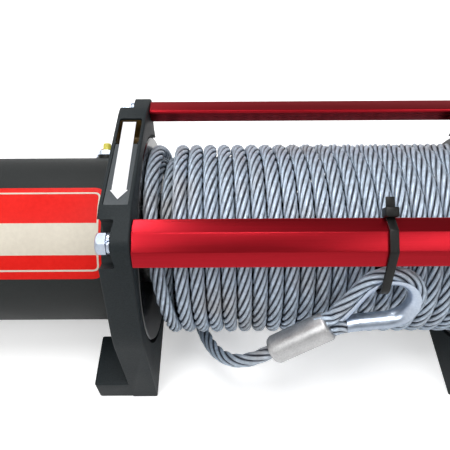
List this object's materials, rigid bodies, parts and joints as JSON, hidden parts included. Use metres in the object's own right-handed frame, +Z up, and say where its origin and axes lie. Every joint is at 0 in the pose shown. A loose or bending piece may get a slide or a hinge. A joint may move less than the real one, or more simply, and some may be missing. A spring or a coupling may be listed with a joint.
{
  "type": "electric winch",
  "caption": "Electric recovery winch with a motor, a drum wound with wire rope between two cast supports, tie bars and a planetary gearbox with a free-spool lever.",
  "frame": {"origin": "centre of the footprint, on the plane the feet stand on", "axes": "+X along the drum from the motor to the gearbox, +Z up, -Y towards the front where the rope leaves"},
  "size_m": [0.5318, 0.1747, 0.1663],
  "materials": {
    "black_casting": "black powder coat on cast alloy",
    "black_enamel": "gloss black enamel",
    "motor_paint": "fine-textured satin black",
    "red_anodised": "bright red anodised",
    "zinc_plate": "bright zinc plate",
    "wire_rope": "galvanised strands",
    "copper": "varnished copper",
    "bronze": "sintered bronze",
    "ferrule_alloy": "swaged alloy",
    "black_plastic": "matt black",
    "yellow_cap": "moulded yellow",
    "orange_cap": "moulded orange",
    "machined_steel": "machined, oiled"
  },
  "bodies": {
    "frame": {"motor_side_support": "black_casting", "gear_side_support": "black_casting", "front_tie_bar": "red_anodised", "rear_tie_bar": "red_anodised", "front_bolt_motor_side": "zinc_plate", "front_bolt_gear_side": "zinc_plate", "front_lock_washer_motor_side": "zinc_plate", "front_lock_washer_gear_side": "zinc_plate", "rear_bolt_motor_side": "zinc_plate", "rear_bolt_gear_side": "zinc_plate", "rear_lock_washer_motor_side": "zinc_plate", "rear_lock_washer_gear_side": "zinc_plate", "gear_side_bushing": "bronze", "motor_side_bushing": "bronze", "rope_eye": "wire_rope", "rope_thimble": "zinc_plate", "rope_ferrule": "ferrule_alloy", "rope_tail": "wire_rope", "cable_tie": "black_plastic", "motor_can": "motor_paint", "motor_end_cap": "motor_paint", "field_pole_1": "copper", "field_pole_2": "copper", "field_pole_3": "copper", "field_pole_4": "copper", "brush_ring": "bronze", "main_ring_gear": "machined_steel", "clutch_ring_gear": "machined_steel", "gear_housing": "black_casting", "gear_end_cover": "black_casting", "terminal_stud_1": "yellow_cap", "terminal_stud_2": "orange_cap", "terminal_stud_3": "orange_cap"},
    "input": {"drive_shaft": "machined_steel", "armature_shaft": "machined_steel", "armature_core": "copper", "commutator": "copper", "shaft_coupling": "machined_steel", "brake_hub": "machined_steel", "upper_brake_shoe": "bronze", "lower_brake_shoe": "bronze", "sun_gear": "machined_steel"},
    "carrier_1": {"stage_1_carrier": "machined_steel"},
    "carrier_2": {"stage_2_carrier": "machined_steel"},
    "drum": {"rope_drum": "black_enamel", "rope_lower_layers": "wire_rope", "rope_outer_layer": "wire_rope", "stage_3_carrier": "machined_steel"},
    "lever": {"clutch_lever": "black_plastic"},
    "pin": {"clutch_pin": "zinc_plate"},
    "planet_1_1": {"stage_1_planet_1": "machined_steel"},
    "planet_1_2": {"stage_1_planet_2": "machined_steel"},
    "planet_1_3": {"stage_1_planet_3": "machined_steel"},
    "planet_2_1": {"stage_2_planet_1": "machined_steel"},
    "planet_2_2": {"stage_2_planet_2": "machined_steel"},
    "planet_2_3": {"stage_2_planet_3": "machined_steel"},
    "planet_3_1": {"stage_3_planet_1": "machined_steel"},
    "planet_3_2": {"stage_3_planet_2": "machined_steel"},
    "planet_3_3": {"stage_3_planet_3": "machined_steel"}
  },
  "joints": [
    {"name": "input_spin", "type": "hinge", "parent": "frame", "child": "input", "pos_m": [0.0485, 0, 0.08], "axis": [1, 0, 0], "continuous": true},
    {"name": "carrier_1_spin", "type": "hinge", "parent": "frame", "child": "carrier_1", "pos_m": [0.22, 0, 0.08], "axis": [1, 0, 0], "continuous": true},
    {"name": "carrier_2_spin", "type": "hinge", "parent": "frame", "child": "carrier_2", "pos_m": [0.2, 0, 0.08], "axis": [1, 0, 0], "continuous": true},
    {"name": "drum_spin", "type": "hinge", "parent": "frame", "child": "drum", "pos_m": [0.0485, 0, 0.08], "axis": [1, 0, 0], "continuous": true},
    {"name": "planet_1_1_spin", "type": "hinge", "parent": "carrier_1", "child": "planet_1_1", "pos_m": [0.2449, 0.0288, 0.08], "axis": [1, 0, 0], "continuous": true},
    {"name": "planet_1_2_spin", "type": "hinge", "parent": "carrier_1", "child": "planet_1_2", "pos_m": [0.2449, -0.0144, 0.10494], "axis": [1, 0, 0], "continuous": true},
    {"name": "planet_1_3_spin", "type": "hinge", "parent": "carrier_1", "child": "planet_1_3", "pos_m": [0.2449, -0.0144, 0.05506], "axis": [1, 0, 0], "continuous": true},
    {"name": "planet_2_1_spin", "type": "hinge", "parent": "carrier_2", "child": "planet_2_1", "pos_m": [0.2229, 0.03, 0.08], "axis": [1, 0, 0], "continuous": true},
    {"name": "planet_2_2_spin", "type": "hinge", "parent": "carrier_2", "child": "planet_2_2", "pos_m": [0.2229, -0.015, 0.10598], "axis": [1, 0, 0], "continuous": true},
    {"name": "planet_2_3_spin", "type": "hinge", "parent": "carrier_2", "child": "planet_2_3", "pos_m": [0.2229, -0.015, 0.05402], "axis": [1, 0, 0], "continuous": true},
    {"name": "planet_3_1_spin", "type": "hinge", "parent": "drum", "child": "planet_3_1", "pos_m": [0.1939, 0.03, 0.08], "axis": [1, 0, 0], "continuous": true},
    {"name": "planet_3_2_spin", "type": "hinge", "parent": "drum", "child": "planet_3_2", "pos_m": [0.1939, -0.015, 0.10598], "axis": [1, 0, 0], "continuous": true},
    {"name": "planet_3_3_spin", "type": "hinge", "parent": "drum", "child": "planet_3_3", "pos_m": [0.1939, -0.015, 0.05402], "axis": [1, 0, 0], "continuous": true},
    {"name": "lever_turn", "type": "hinge", "parent": "frame", "child": "lever", "pos_m": [0.2429, 0, 0.15], "axis": [0, 0, 1], "range_deg": [0, 90]},
    {"name": "pin_lift", "type": "slide", "parent": "frame", "child": "pin", "axis": [0, 0, 1], "range_m": [0, 0.005]}
  ],
  "couplings": [
    {"joint": "carrier_1_spin", "follows": "input_spin", "ratio": 0.16667},
    {"joint": "carrier_2_spin", "follows": "input_spin", "ratio": 0.033333},
    {"joint": "drum_spin", "follows": "input_spin", "ratio": 0.0066667},
    {"joint": "planet_1_1_spin", "follows": "input_spin", "ratio": -0.41667},
    {"joint": "planet_1_2_spin", "follows": "input_spin", "ratio": -0.41667},
    {"joint": "planet_1_3_spin", "follows": "input_spin", "ratio": -0.41667},
    {"joint": "planet_2_1_spin", "follows": "input_spin", "ratio": -0.088889},
    {"joint": "planet_2_2_spin", "follows": "input_spin", "ratio": -0.088889},
    {"joint": "planet_2_3_spin", "follows": "input_spin", "ratio": -0.088889},
    {"joint": "planet_3_1_spin", "follows": "input_spin", "ratio": -0.017778},
    {"joint": "planet_3_2_spin", "follows": "input_spin", "ratio": -0.017778},
    {"joint": "planet_3_3_spin", "follows": "input_spin", "ratio": -0.017778},
    {"joint": "pin_lift", "follows": "lever_turn", "m_per_rad": 0.003183}
  ]
}
